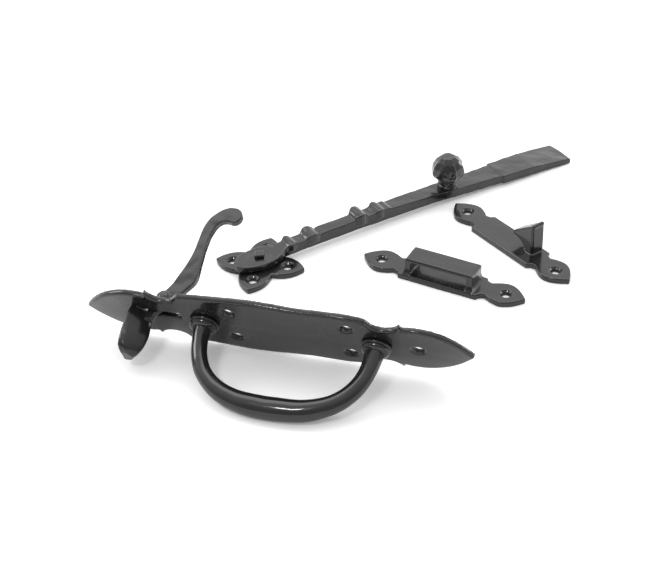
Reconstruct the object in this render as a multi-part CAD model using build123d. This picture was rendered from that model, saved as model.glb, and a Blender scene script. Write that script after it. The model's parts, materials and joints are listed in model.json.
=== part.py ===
from build123d import *
import math
import os

# Suffolk latch in cast iron: a pull handle on a leaf-ended plate with a thumb lever through it, a
# latch bar on a quatrefoil pivot plate, the staple that guides the bar and the keep that catches
# it. The loose units lie on a table as they come out of the packet, in millimetres, +Z up, with
# the origin under the middle of the set. The handle rests on its plate's long edge and its bow.

# Screws: the same clearance hole and countersink in every small plate
screw_hole = 4.6
screw_sink = 7.8
handle_screw_hole = 4.8
handle_screw_sink = 8.0

# Plates of the staple and the keep: a straight middle, a neck and a pointed leaf at each end
keeper_length = 100.0
keeper_width = 18.9
keeper_thick = 3.35
keeper_shoulder = 24.0
keeper_neck_at = 28.0
keeper_neck_width = 12.0
keeper_leaf_at = 37.5
keeper_leaf_width = 18.8
keeper_screw_spacing = 76.9
plate_arris = 0.45

# Staple bridge, cast on its plate, with the passage that the bar lifts and drops in
bridge_length = 41.4
bridge_width = 14.0
bridge_height = 13.3
bridge_flare = 1.1
bridge_arris = 1.3
casting_overlap = 0.4
passage_length = 34.4
passage_height = 7.55
passage_corner = 1.6

# Keep nose: a ramp that lifts the closing bar and a notch that it drops into
nose_width = 9.4
nose_back_inset = 1.1
nose_peak_at = 18.8
nose_height = 22.9
nose_ramp_foot = 2.6
nose_tip_height = 12.6
nose_notch_height = 9.0
nose_root_at = 13.6
nose_heel_at = 19.6
nose_arris = 0.9

# Quatrefoil pivot plate and the rivet that the bar turns on
pivot_reach = 26.6
pivot_crotch = 9.5
pivot_thick = 3.35
pivot_screw_circle = 32.74
pivot_boss_radius = 8.0
pivot_boss_height = 0.55
rivet_radius = 2.4
rivet_head = 5.4
rivet_head_height = 2.1
rivet_turn = -28.0
rivet_end_play = 0.25
rivet_arris = 0.4
pivot_clearance = 0.08

# Latch bar, along its own length from the pivot to the end of its blade
bar_length = 225.0
bar_underside = 4.2
eye_length = 32.4
eye_width = 17.6
eye_thick = 3.9
eye_neck_flare = 0.4
neck_width = 8.2
grip_station = 118.0
blade_set_down = 4.2
grip_width = 11.3
shoulder_station = 170.0
shoulder_width = 15.8
blade_width = 18.2
blade_end_width = 21.2
blade_end_bow = 0.8
neck_thick = 7.0
grip_thick = 5.9
shoulder_thick = 5.4
blade_thick = 5.7
blade_ramp = 30.0
blade_end_thick = 3.3
step_length = 1.2

# Cast mouldings across the bar: each bead has its station, length, height and width
first_bead = (19.9, 6.4, 7.6, 11.4)
second_bead = (34.0, 10.3, 9.0, 11.2)
third_bead = (67.7, 8.6, 10.6, 12.0)
fourth_bead = (80.9, 6.4, 9.0, 11.8)
cove_height = 6.2
far_cove_height = 7.5
fillet_height = 7.9
fillet_end = 87.4
chamfer_start = 40.4
chamfer_end = 61.6
chamfer_size = 2.0
chamfer_runout = 4.5

# Knob, riveted through the bar
knob_station = 134.0
knob_height = 21.6
knob_neck_radius = 5.6
knob_collar_radius = 6.5
knob_collar_thick = 2.6
knob_collar_arris = 0.8
knob_base_at = 6.8
knob_base_radius = 8.2
knob_belly_at = 11.4
knob_belly_radius = 10.5
knob_brow_at = 18.2
knob_brow_radius = 9.4
knob_crown_radius = 4.2
knob_stem_radius = 3.0
knob_stem_clench = 0.4
knob_sides = 8

# Handle plate
body_length = 99.0
body_width = 49.8
body_corner_width = 43.4
scallop_lead = 3.2
scallop_step = 7.6
scallop_width = 31.2
scallop_shoulder = 1.6
cusp_step = 17.3
cusp_width = 43.6
cusp_lip = 1.0
leaf_root_width = 35.8
leaf_belly_step = 9.7
leaf_belly_width = 38.0
leaf_length = 37.2
plate_thick = 3.14
plate_bevel = 0.7
screw_margin = 9.9
screw_row_step = 62.3
screw_pair_spacing = 25.0
leaf_screw_step = 8.6

# Pull handle: a bow between two ringed feet, with tenons riveted behind the plate
grip_centre = 8.0
grip_half_span = 46.0
grip_reach = 43.4
grip_fullness = 2.53
grip_radius = 5.5
grip_first_leg_radius = 4.5
grip_second_leg_radius = 4.1
foot_radius = 7.9
foot_height = 3.9
foot_round = 1.4
tenon_radius = 4.0
tenon_head_radius = 6.0
tenon_head_height = 1.6
tenon_head_spread = 1.4

# Thumb lever, its slot, its cast lugs and its pin
lever_offset = 2.4
lever_thick = 4.0
lever_side_gap = 0.7
pin_step = 11.0
slot_before_pin = 12.0
slot_past_pin = 10.0
pin_depth = 3.6
pin_radius = 1.7
pin_clearance = 0.08
pin_head = 0.7
pin_head_lip = 0.7
lug_radius = 4.3
lug_thick = 3.8
tail_reach = 64.1
tail_end_step = 22.3
tail_end_radius = 4.8
pad_thick = 4.2
pad_rim_thick = 2.4
pad_rest_gap = 0.4
pad_belly_at = -5.2
pad_rim_at = -16.2
pad_root_lift = 1.3
pad_waist_width = 13.6
pad_root_width = 19.2
pad_lobe_width = 17.8
pad_length = 28.4

# Stations along the handle plate that follow from its body
cusp_at = body_length / 2 + cusp_step
leaf_belly_at = cusp_at + leaf_belly_step
plate_tip_at = cusp_at + leaf_length
leaf_screw_at = cusp_at + leaf_screw_step
lower_screw_at = body_length / 2 - screw_margin
upper_screw_at = lower_screw_at - screw_row_step
pin_at = -body_length / 2 - pin_step
tail_end_at = pin_at + tail_end_step

# Where the units lie on the table, and how each is turned
handle_spot = (-30.5, -61.3)
handle_turn = -15.4
handle_tip = 0.68
staple_spot = (62.9, 10.0)
staple_turn = -28.55
keep_spot = (105.6, 44.0)
keep_turn = -55.3
pivot_spot = (-41.6, 27.0)
pivot_turn = -13.1
bar_turn = 31.0


def leaf_plate(thick):
    """Flat cast plate with a necked, pointed leaf at each end, lying along X on the table."""
    half = keeper_width / 2
    neck = keeper_neck_width / 2
    leaf = keeper_leaf_width / 2
    tip = keeper_length / 2
    taper = tip - keeper_leaf_at
    middle = Line((0, half), (keeper_shoulder, half))
    throat = Polyline(
        (keeper_shoulder, half),
        (0.7 * keeper_shoulder + 0.3 * keeper_neck_at, 0.3 * half + 0.7 * neck),
        (keeper_neck_at, neck),
    )
    end = Spline(
        (keeper_neck_at, neck),
        ((keeper_neck_at + keeper_leaf_at) / 2, neck + 0.72 * (leaf - neck)),
        (keeper_leaf_at, leaf),
        (keeper_leaf_at + 0.6 * taper, 0.6 * leaf),
        (tip, 0),
    )
    quarter = Curve() + [middle, throat, end]
    side = quarter + mirror(quarter, Plane.YZ)
    outline = make_face(side + mirror(side, Plane.XZ))
    plate = extrude(outline, thick)
    return chamfer(plate.faces().sort_by(Axis.Z)[-1].edges(), plate_arris)


def screw_cut(hole, sink, thick):
    """Clearance hole with a right-angled countersink, from Z 0 up to a face at the thickness."""
    depth = (sink - hole) / 2
    shank = Pos(0, 0, thick / 2) * Cylinder(hole / 2, thick + 2)
    bowl = Pos(0, 0, thick - depth / 2) * Cone(hole / 2, sink / 2, depth)
    lip = Pos(0, 0, thick + 0.5) * Cylinder(sink / 2, 1)
    return shank + bowl + lip


def keeper_plate():
    """Leaf plate with a screw hole in each leaf."""
    plate = leaf_plate(keeper_thick)
    for side in (-1, 1):
        hole = screw_cut(screw_hole, screw_sink, keeper_thick)
        plate -= Pos(side * keeper_screw_spacing / 2, 0, 0) * hole
    return plate


def flared_side(half, flare, low, high):
    """Upright outline that spreads in a soft curve towards its foot."""
    rise = 0.55 * (high - low)
    wall = Line((half, high), (half, low + rise))
    foot = ThreePointArc(
        (half, low + rise),
        (half + 0.25 * flare, low + 0.45 * rise),
        (half + flare, low),
    )
    top = Line((0, high), (half, high))
    base = Line((half + flare, low), (0, low))
    side = Curve() + [top, wall, foot, base]
    return make_face(side + mirror(side, Plane.YZ))


def make_staple():
    """Keeper plate with a bridge over the passage for the bar."""
    low = keeper_thick - casting_overlap
    across = (keeper_width - bridge_width) / 2
    long_view = extrude(
        Plane.XZ * flared_side(bridge_length / 2, bridge_flare, low, bridge_height),
        keeper_width,
        both=True,
    )
    end_view = extrude(
        Plane.YZ * flared_side(bridge_width / 2, across, low, bridge_height),
        bridge_length,
        both=True,
    )
    bridge = long_view & end_view
    bridge = fillet(bridge.faces().sort_by(Axis.Z)[-1].edges(), bridge_arris)
    opening = Rectangle(passage_length, 2 * passage_height)
    opening = fillet(opening.vertices(), passage_corner)
    passage = extrude(Plane.XZ * opening, keeper_width, both=True)
    lower = Pos(0, 0, -passage_height / 2) * Box(
        2 * passage_length, 3 * keeper_width, passage_height
    )
    passage = Pos(0, 0, keeper_thick) * (passage - lower)
    return keeper_plate() + (bridge - passage)


def make_keep():
    """Keeper plate with a ramped nose that the bar rides up and drops behind."""
    base = keeper_thick - casting_overlap
    tip_drop = nose_tip_height - nose_notch_height
    tip_round = 0.32 * tip_drop
    underside = (nose_root_at - nose_ramp_foot) / 3
    profile = make_face(
        Curve()
        + [
            Line((nose_heel_at, base), (nose_heel_at - 0.6, nose_height - 2.2)),
            ThreePointArc(
                (nose_heel_at - 0.6, nose_height - 2.2),
                (nose_peak_at - 0.4, nose_height),
                (nose_peak_at - 2.2, nose_height - 1.2),
            ),
            Line(
                (nose_peak_at - 2.2, nose_height - 1.2),
                (nose_ramp_foot + tip_round, nose_tip_height),
            ),
            ThreePointArc(
                (nose_ramp_foot + tip_round, nose_tip_height),
                (nose_ramp_foot, nose_tip_height - 0.55 * tip_drop),
                (nose_ramp_foot + 2 * tip_round, nose_notch_height + 0.35),
            ),
            Spline(
                (nose_ramp_foot + 2 * tip_round, nose_notch_height + 0.35),
                (nose_root_at - 1.3 * underside, nose_notch_height - 0.9),
                (nose_root_at, base),
            ),
            Line((nose_root_at, base), (nose_heel_at, base)),
        ]
    )
    back = keeper_width / 2 - nose_back_inset
    nose = extrude(Plane.XZ * profile, nose_width)
    ends = nose.faces().sort_by(Axis.Y)
    nose = chamfer(ends[0].edges() + ends[-1].edges(), nose_arris)
    trim = Pos(nose_peak_at, 0, base / 2) * Box(6 * nose_peak_at, 6 * nose_width, base)
    nose = Pos(0, back, 0) * (nose - trim)
    return keeper_plate() + nose


def make_pivot_plate():
    """Quatrefoil plate: four pointed lobes, a screw hole in each and a low boss in the middle."""
    crotch = pivot_crotch
    lobe = pivot_reach - crotch
    quarter = Curve() + Spline(
        (crotch, crotch),
        (crotch + 0.24 * lobe, 0.96 * crotch),
        (crotch + 0.46 * lobe, 0.86 * crotch),
        (crotch + 0.65 * lobe, 0.68 * crotch),
        (crotch + 0.84 * lobe, 0.38 * crotch),
        (pivot_reach, 0),
    )
    lobe_edges = quarter + mirror(quarter, Plane.XZ)
    outline = Curve() + [Rot(0, 0, 90 * turn) * lobe_edges for turn in range(4)]
    plate = extrude(make_face(outline), pivot_thick)
    plate = chamfer(plate.faces().sort_by(Axis.Z)[-1].edges(), plate_arris)
    for turn in range(4):
        hole = screw_cut(screw_hole, screw_sink, pivot_thick)
        plate -= Rot(0, 0, 90 * turn) * Pos(pivot_screw_circle / 2, 0, 0) * hole
    boss = Pos(0, 0, pivot_thick + pivot_boss_height / 2) * Cone(
        pivot_boss_radius + pivot_boss_height, pivot_boss_radius, pivot_boss_height
    )
    seat = Pos(0, 0, pivot_thick / 2) * Cylinder(rivet_radius, 3 * pivot_thick)
    return plate + boss - seat


def make_rivet():
    """Pivot rivet with a square head, clenched flush under the plate."""
    seat = bar_underside + eye_thick + rivet_end_play
    shank = Pos(0, 0, seat / 2) * Cylinder(rivet_radius, seat)
    head = Pos(0, 0, seat + rivet_head_height / 2) * Box(
        rivet_head, rivet_head, rivet_head_height
    )
    head = chamfer(head.faces().sort_by(Axis.Z)[-1].edges(), rivet_arris)
    return shank + Rot(0, 0, rivet_turn) * head


def bead_arc(bead, start_height, end_height):
    """Round top of a bead, in the bar's side view."""
    station, length, height, width = bead
    return ThreePointArc(
        (station - length / 2, start_height),
        (station, height),
        (station + length / 2, end_height),
    )


def bead_edge(bead, side):
    """Station where a bead starts or ends."""
    return bead[0] + side * bead[1] / 2


def set_down(station):
    """How far the bar is set down towards the table, from nothing at its grip."""
    return blade_set_down * (station - grip_station) / (bar_length - grip_station)


def bar_side_view():
    """Side view of the bar: eye, beads and coves, the long tapered grip and the ramped blade."""
    end = bar_length
    step = shoulder_station + step_length
    ramp = end - blade_ramp
    past = end + 1
    rise = bead_edge(third_bead, -1) - 0.6
    steep = 0.72 * third_bead[2]
    ridge = [
        (-eye_length, 0),
        (-eye_length, eye_thick),
        (0.24 * eye_length, eye_thick),
        (bead_edge(first_bead, -1), cove_height - 0.4),
    ]
    return make_face(
        Curve()
        + [
            Polyline(*ridge),
            bead_arc(first_bead, cove_height - 0.4, cove_height),
            Line(
                (bead_edge(first_bead, 1), cove_height),
                (bead_edge(second_bead, -1), cove_height),
            ),
            bead_arc(second_bead, cove_height, cove_height),
            Polyline(
                (bead_edge(second_bead, 1), cove_height),
                (bead_edge(second_bead, 1) + 1.4, neck_thick),
                (rise, neck_thick),
                (bead_edge(third_bead, -1), steep),
            ),
            bead_arc(third_bead, steep, far_cove_height),
            ThreePointArc(
                (bead_edge(third_bead, 1), far_cove_height),
                ((bead_edge(third_bead, 1) + bead_edge(fourth_bead, -1)) / 2, far_cove_height - 0.5),
                (bead_edge(fourth_bead, -1), far_cove_height),
            ),
            bead_arc(fourth_bead, far_cove_height, fillet_height),
            Polyline(
                (bead_edge(fourth_bead, 1), fillet_height),
                (fillet_end, fillet_height),
                (fillet_end + 1.6, neck_thick),
                (grip_station, grip_thick),
                (shoulder_station, shoulder_thick - set_down(shoulder_station)),
                (step, blade_thick - set_down(step)),
                (ramp, blade_thick - set_down(ramp)),
                (past, blade_end_thick - set_down(past)),
                (past, -set_down(past)),
                (grip_station, 0),
                (-eye_length, 0),
            ),
        ]
    )


def bar_plan():
    """Plan of the bar: an oval eye, a slender neck that widens to the shouldered blade."""
    half_end = blade_end_width / 2
    corner = bar_length - blade_end_bow
    upper = Curve() + [
        Polyline(
            (0, neck_width / 2 + eye_neck_flare),
            (bead_edge(second_bead, 1), neck_width / 2),
            (bead_edge(third_bead, -1), neck_width / 2),
            (grip_station, grip_width / 2),
            (shoulder_station, shoulder_width / 2),
            (shoulder_station + step_length, blade_width / 2),
            (corner, half_end),
        )
    ]
    sides = upper + mirror(upper, Plane.XZ)
    end = ThreePointArc((corner, half_end), (bar_length, 0), (corner, -half_end))
    heel_half = neck_width / 2 + eye_neck_flare
    heel = Line((0, heel_half), (0, -heel_half))
    return make_face(sides + [end, heel]) + Ellipse(eye_length / 2, eye_width / 2)


def stop_chamfer(side):
    """Cutter for one long chamfer that runs out at both ends."""
    half = neck_width / 2
    sections = []
    for station, size in (
        (chamfer_start, 0.05),
        (chamfer_start + chamfer_runout, chamfer_size),
        (chamfer_end - chamfer_runout, chamfer_size),
        (chamfer_end, 0.05),
    ):
        corner = Polyline(
            (side * (half - size), neck_thick + 0.4),
            (side * (half + 0.4), neck_thick - size),
            (side * (half + 0.4), neck_thick + 0.4),
            close=True,
        )
        sections.append(Pos(station, 0, 0) * Plane.YZ * make_face(corner))
    return loft(sections, ruled=True)


def make_bar():
    """Latch bar with its cast mouldings, lying along X with its underside at Z 0."""
    tall = 2 * third_bead[2]
    side_view = extrude(Plane.XZ * bar_side_view(), 2 * blade_end_width, both=True)
    bar = extrude(bar_plan(), tall, both=True) & side_view
    for bead in (first_bead, second_bead, third_bead, fourth_bead):
        station, length, height, width = bead
        swell = Pos(station, 0, 0) * Ellipse(0.62 * length, width / 2)
        bar += extrude(Pos(0, 0, 0.45 * neck_thick) * swell, tall) & side_view
    for side in (-1, 1):
        bar -= stop_chamfer(side)
    return bar


def bar_place():
    """Place of the bar: level on the pivot, with the end of its blade down on the table."""
    return Pos(pivot_spot[0], pivot_spot[1], bar_underside) * Rot(0, 0, bar_turn)


def knob_place():
    """Place of the knob on the bar, square to the bar's falling top."""
    span = shoulder_station - grip_station
    fall = (grip_thick - shoulder_thick + set_down(shoulder_station)) / span
    seat = grip_thick - fall * (knob_station - grip_station)
    return Pos(knob_station, 0, seat) * Rot(0, math.degrees(math.atan(fall)), 0)


def make_knob():
    """Forged knob: a ringed neck under a faceted barrel head, with its stem through the bar."""
    reach = shoulder_thick - knob_stem_clench
    stem = Pos(0, 0, (1 - reach) / 2) * Cylinder(knob_stem_radius, reach + 1)
    neck = revolve(
        Plane.XZ
        * make_face(
            Polyline(
                (0, 0),
                (knob_collar_radius, 0),
                (knob_collar_radius, knob_collar_thick - knob_collar_arris),
                (knob_collar_radius - knob_collar_arris, knob_collar_thick),
                (knob_neck_radius, knob_collar_thick + 0.4),
                (knob_neck_radius, knob_base_at - 1.4),
                (knob_base_radius - 1.2, knob_base_at + 0.3),
                (0, knob_base_at + 0.3),
                close=True,
            )
        ),
        Axis.Z,
    )
    rows = (
        (knob_base_at, knob_base_radius),
        (knob_belly_at, knob_belly_radius),
        (knob_brow_at, knob_brow_radius),
        (knob_height, knob_crown_radius),
    )
    head = loft(
        [Pos(0, 0, at) * RegularPolygon(radius, knob_sides) for at, radius in rows],
        ruled=True,
    )
    return knob_place() * (neck + head + stem)


def handle_outline():
    """Outline of the handle plate: a broad waved body, a cusp and a pointed leaf at each end."""
    half = body_length / 2
    corner = body_corner_width / 2
    wide = body_width / 2
    tip = plate_tip_at
    leaf = leaf_belly_width / 2
    taper = tip - leaf_belly_at
    scallop_half = scallop_width / 2
    long_side = Spline(
        (-half, corner),
        (-0.5 * half, wide - 0.6),
        (-0.1 * half, wide),
        (0.3 * half, wide - 1.7),
        (0.68 * half, wide - 1.1),
        (half, corner),
    )
    end = Curve() + [
        Line((half, corner), (half + scallop_lead, scallop_half + scallop_shoulder)),
        ThreePointArc(
            (half + scallop_lead, scallop_half + scallop_shoulder),
            (half + scallop_step, scallop_half),
            (cusp_at, cusp_width / 2),
        ),
        Line((cusp_at, cusp_width / 2), (cusp_at + cusp_lip, leaf_root_width / 2)),
        Spline(
            (cusp_at + cusp_lip, leaf_root_width / 2),
            (leaf_belly_at, leaf),
            (leaf_belly_at + 0.31 * taper, 0.89 * leaf),
            (leaf_belly_at + 0.67 * taper, 0.56 * leaf),
            (tip, 0),
        ),
    ]
    upper = long_side + end + mirror(end, Plane.YZ)
    return make_face(upper + mirror(upper, Plane.XZ))


def make_handle_plate():
    """Handle plate, front face at Z 0, with screw holes, lever slot and two lugs behind."""
    blank = Pos(0, 0, -plate_thick) * extrude(handle_outline(), plate_thick)
    plate = chamfer(blank.faces().sort_by(Axis.Z)[-1].edges(), plate_bevel)
    hole = screw_cut(handle_screw_hole, handle_screw_sink, plate_thick)
    row = screw_pair_spacing / 2
    for along in (upper_screw_at, lower_screw_at):
        for across in (-row, row):
            plate -= Pos(along, across, -plate_thick) * hole
    for along in (-leaf_screw_at, leaf_screw_at):
        plate -= Pos(along, 0, -plate_thick) * hole
    for along in (-grip_half_span, grip_half_span):
        tenon_hole = Cylinder(tenon_radius, 3 * plate_thick)
        plate -= Pos(grip_centre + along, 0, 0) * tenon_hole
    slot_width = lever_thick + 2 * lever_side_gap
    slot = Box(slot_before_pin + slot_past_pin, slot_width, 3 * plate_thick)
    slot_middle = pin_at + (slot_past_pin - slot_before_pin) / 2
    plate -= Pos(slot_middle, lever_offset, 0) * slot
    for side in (-1, 1):
        offset = lever_offset + side * (slot_width / 2 + lug_thick / 2)
        cheek = Cylinder(lug_radius, lug_thick, rotation=(90, 0, 0))
        foot = Pos(0, 0, pin_depth / 2) * Box(2 * lug_radius, lug_thick, pin_depth)
        lug = Pos(pin_at, offset, -plate_thick - pin_depth) * (cheek + foot)
        plate += lug
    bore = Cylinder(pin_radius, 4 * lug_radius, rotation=(90, 0, 0))
    return plate - Pos(pin_at, lever_offset, -plate_thick - pin_depth) * bore


def make_pin():
    """Lever pin, its ends peened over the lugs."""
    grip = lever_thick + 2 * lever_side_gap + 2 * lug_thick
    shank = Cylinder(pin_radius, grip, rotation=(90, 0, 0))
    pin = shank
    for side in (-1, 1):
        head = Cylinder(pin_radius + pin_head_lip, pin_head, rotation=(90, 0, 0))
        pin += Pos(0, side * (grip / 2 + pin_head / 2), 0) * head
    return Pos(pin_at, lever_offset, -plate_thick - pin_depth) * pin


def bow_point(angle):
    """Point of the bow's centre line at an angle from its right foot, on a full, squared curve."""
    across = math.cos(angle)
    out = math.sin(angle)
    power = 2 / grip_fullness
    along = math.copysign(abs(across) ** power, across)
    return Vector(grip_half_span * along, 0, grip_reach * out ** power)


def make_pull_handle():
    """Pull handle: bow thickest at its middle, ringed feet, tenons riveted behind the plate."""
    count = 16
    angles = [math.pi * step / count for step in range(count + 1)]
    points = [bow_point(angle) for angle in angles]
    path = Spline(*points, tangents=[(0, 0, 1), (0, 0, -1)])
    places = (0, 0.25, 0.5, 0.75, 1)
    radii = []
    for place in places:
        leg = grip_first_leg_radius * (1 - place) + grip_second_leg_radius * place
        radii.append(leg + (grip_radius - leg) * math.sin(math.pi * place) ** 4)
    sections = []
    for place, radius in zip(places, radii):
        frame = Plane(path @ place, z_dir=path % place)
        sections.append(frame * Circle(radius))
    handle = sweep(sections, path=path, multisection=True)
    for side in (-1, 1):
        foot = Pos(0, 0, foot_height / 2) * Cylinder(foot_radius, foot_height)
        foot = fillet(foot.faces().sort_by(Axis.Z)[-1].edges(), foot_round)
        tenon = Pos(0, 0, -plate_thick / 2) * Cylinder(tenon_radius, plate_thick)
        clench = Pos(0, 0, -plate_thick - tenon_head_height / 2) * Cone(
            tenon_head_radius - tenon_head_spread, tenon_head_radius, tenon_head_height
        )
        handle += Pos(side * grip_half_span, 0, 0) * (foot + tenon + clench)
    return Pos(grip_centre, 0, 0) * handle


def lever_side_view():
    """Side view of the lever's web: the root under the pad, the eye and the hooked tail."""
    axis = -plate_thick - pin_depth
    end = tail_end_at
    low = -tail_reach
    ball = tail_end_radius
    crest = 0.4 * pad_length
    outer = Spline(
        (pin_at - 8.0, pad_rest_gap),
        (pin_at - 6.8, axis),
        (pin_at - 1.7, 0.215 * low),
        (pin_at + 3.0, 0.385 * low),
        (end - 16.1, 0.565 * low),
        (end - 15.0, 0.775 * low),
        (end - 13.4, 0.91 * low),
        (end - 9.6, low - 0.3),
        (end - 5.0, low - 0.8 * ball),
        (end, low - ball),
    )
    hook = ThreePointArc((end, low - ball), (end + ball, low), (end, low + ball))
    inner = Spline(
        (end, low + ball),
        (end - 6.0, 0.915 * low),
        (end - 8.8, 0.82 * low),
        (end - 9.8, 0.68 * low),
        (end - 9.4, 0.46 * low),
        (pin_at + 12.2, 0.31 * low),
        (pin_at + 9.0, 0.235 * low),
        (pin_at + 3.0, axis + 2.0),
        (pin_at - 2.4, -0.4),
        (pin_at - 5.0, 0.35 * crest),
        (pin_at - 6.4, crest),
    )
    root = Polyline((pin_at - 6.4, crest), (pin_at - 8.0, crest), (pin_at - 8.0, pad_rest_gap))
    return make_face(Curve() + [outer, hook, inner, root])


def pad_section(out, width, belly, rim):
    """Scooped section of the dished pad at one distance out from the plate."""
    half = width / 2
    back = pin_at + belly
    edge = pin_at + rim
    lip = half - pad_rim_thick
    outside = ThreePointArc((-half, -edge), (0, -back), (half, -edge))
    right = Line((half, -edge), (lip, -edge))
    inside = ThreePointArc((lip, -edge), (0, -back + pad_thick), (-lip, -edge))
    left = Line((-lip, -edge), (-half, -edge))
    section = make_face(Curve() + [outside, right, inside, left])
    level = Plane(origin=(0, lever_offset, out), x_dir=(0, 1, 0), z_dir=(0, 0, 1))
    return level * section


def make_lever():
    """Thumb lever: a dished pad in front of the plate, a hooked tail behind, on one flat web."""
    web = extrude(Plane.XZ * lever_side_view(), lever_thick / 2, both=True)
    web = Pos(0, lever_offset, 0) * web
    reach = pad_length
    root, waist, lobe = pad_root_width, pad_waist_width, pad_lobe_width
    belly, rim = pad_belly_at, pad_rim_at
    pad = loft(
        [
            pad_section(pad_rest_gap, root, belly, rim + pad_root_lift),
            pad_section(0.18 * reach, 0.9 * root, belly + 0.2, rim + 0.3),
            pad_section(0.36 * reach, waist, belly + 0.4, rim + 0.8),
            pad_section(0.54 * reach, 0.5 * (waist + lobe), belly + 0.2, rim + 1.0),
            pad_section(0.72 * reach, lobe, belly - 0.8, rim + 1.0),
            pad_section(0.88 * reach, 0.8 * lobe, belly - 2.6, rim + 1.4),
            pad_section(reach, 0.42 * lobe, belly - 4.8, rim + 2.6),
        ]
    )
    bore = Cylinder(pin_radius + pin_clearance, 4 * lever_thick, rotation=(90, 0, 0))
    bore = Pos(pin_at, lever_offset, -plate_thick - pin_depth) * bore
    return web + pad - bore


def handle_place():
    """Place of the handle: leaning until its bow and the plate's long edge both touch down."""
    half = body_width / 2
    lean = math.acos(grip_radius / math.hypot(half, grip_reach)) - math.atan2(grip_reach, half)
    turn = math.radians(handle_turn)
    tip = math.radians(handle_tip)
    level = Vector(math.cos(turn), math.sin(turn), 0)
    away = Vector(-math.sin(turn), math.cos(turn), 0)
    up = Vector(0, 0, 1)
    along = level * math.cos(tip) + up * math.sin(tip)
    square = up * math.cos(tip) - level * math.sin(tip)
    across = square * math.cos(lean) - away * math.sin(lean)
    spot = (handle_spot[0], handle_spot[1], half * math.cos(lean))
    return Plane(origin=spot, x_dir=along, z_dir=along.cross(across)).location


def build_latch():
    """Every piece by name, lying in its place on the table."""
    handle = handle_place()
    handle_pieces = {
        "handle_plate": handle * make_handle_plate(),
        "pull_handle": handle * make_pull_handle(),
        "lever_pin": handle * make_pin(),
        "thumb_lever": handle * make_lever(),
    }
    lowest = min(
        handle_pieces[name].bounding_box().min.Z for name in ("handle_plate", "pull_handle")
    )
    pieces = {name: Pos(0, 0, -lowest) * solid for name, solid in handle_pieces.items()}

    pivot = Pos(pivot_spot[0], pivot_spot[1], 0)
    plate_turn = Rot(0, 0, pivot_turn)
    pieces["pivot_plate"] = pivot * plate_turn * make_pivot_plate()
    pieces["pivot_rivet"] = pivot * Rot(0, 0, bar_turn) * make_rivet()
    eye_hole = pivot * Cylinder(rivet_radius + pivot_clearance, 6 * bar_underside)
    place = bar_place()
    knob = place * make_knob()
    knob_hole = place * knob_place() * Cylinder(knob_stem_radius, 6 * grip_thick)
    pieces["latch_bar"] = place * make_bar() - eye_hole - knob_hole
    pieces["latch_knob"] = knob

    pieces["staple"] = Pos(staple_spot[0], staple_spot[1], 0) * Rot(0, 0, staple_turn) * make_staple()
    pieces["keep"] = Pos(keep_spot[0], keep_spot[1], 0) * Rot(0, 0, keep_turn) * make_keep()

    boxes = [solid.bounding_box() for solid in pieces.values()]
    middle_x = (min(box.min.X for box in boxes) + max(box.max.X for box in boxes)) / 2
    middle_y = (min(box.min.Y for box in boxes) + max(box.max.Y for box in boxes)) / 2
    return {name: Pos(-middle_x, -middle_y, 0) * solid for name, solid in pieces.items()}


def main():
    os.makedirs("parts", exist_ok=True)
    for name, solid in build_latch().items():
        export_step(solid, f"parts/{name}.step")
        print(name, round(solid.volume, 1))


main()
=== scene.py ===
"""Cast iron suffolk latch set in satin black powder coat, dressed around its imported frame."""

import json
import logging
import math
from collections.abc import Sequence
from dataclasses import dataclass, field
from enum import Enum

import bmesh
import bpy
import numpy as np
from mathutils import Matrix, Vector


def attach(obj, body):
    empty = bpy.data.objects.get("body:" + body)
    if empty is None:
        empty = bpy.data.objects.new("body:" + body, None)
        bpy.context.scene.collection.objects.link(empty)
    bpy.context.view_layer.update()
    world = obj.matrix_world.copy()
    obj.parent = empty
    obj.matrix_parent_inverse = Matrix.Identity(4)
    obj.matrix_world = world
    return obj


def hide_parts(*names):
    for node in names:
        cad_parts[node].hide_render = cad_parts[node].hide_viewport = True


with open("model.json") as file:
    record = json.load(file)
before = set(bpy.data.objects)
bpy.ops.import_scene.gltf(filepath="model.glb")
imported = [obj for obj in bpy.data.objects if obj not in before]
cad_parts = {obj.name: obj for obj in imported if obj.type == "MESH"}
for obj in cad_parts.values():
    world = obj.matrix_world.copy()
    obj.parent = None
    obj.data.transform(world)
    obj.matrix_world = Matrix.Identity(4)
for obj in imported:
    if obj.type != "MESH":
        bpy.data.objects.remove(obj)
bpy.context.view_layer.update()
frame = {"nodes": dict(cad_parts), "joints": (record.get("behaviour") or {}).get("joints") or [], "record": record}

log = logging.getLogger("suffolk_latch")
MM = 0.001
SAME_PLACE = 2e-6


class Body(Enum):
    """The rigid bodies of the frame that a piece can ride on."""

    FIXED = "fixed_units"
    LEVER = "lever"
    BAR = "bar"


# Shared effects as node groups


def new_group(name: str, inputs: dict[str, float], outputs: dict[str, str]) -> bpy.types.NodeTree:
    """Makes an empty shader node group with its sockets.

    Args:
        name: Name of the group.
        inputs: Number sockets with their usual values.
        outputs: Output sockets with their socket types.

    Returns:
        The group, with a node for its inputs named "in" and one for its outputs named "out".
    """
    tree = bpy.data.node_groups.new(name, "ShaderNodeTree")
    for label, value in inputs.items():
        socket = tree.interface.new_socket(label, in_out="INPUT", socket_type="NodeSocketFloat")
        socket.default_value = value
    for label, kind in outputs.items():
        tree.interface.new_socket(label, in_out="OUTPUT", socket_type=kind)
    tree.nodes.new("NodeGroupInput").name = "in"
    tree.nodes.new("NodeGroupOutput").name = "out"
    return tree


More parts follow.
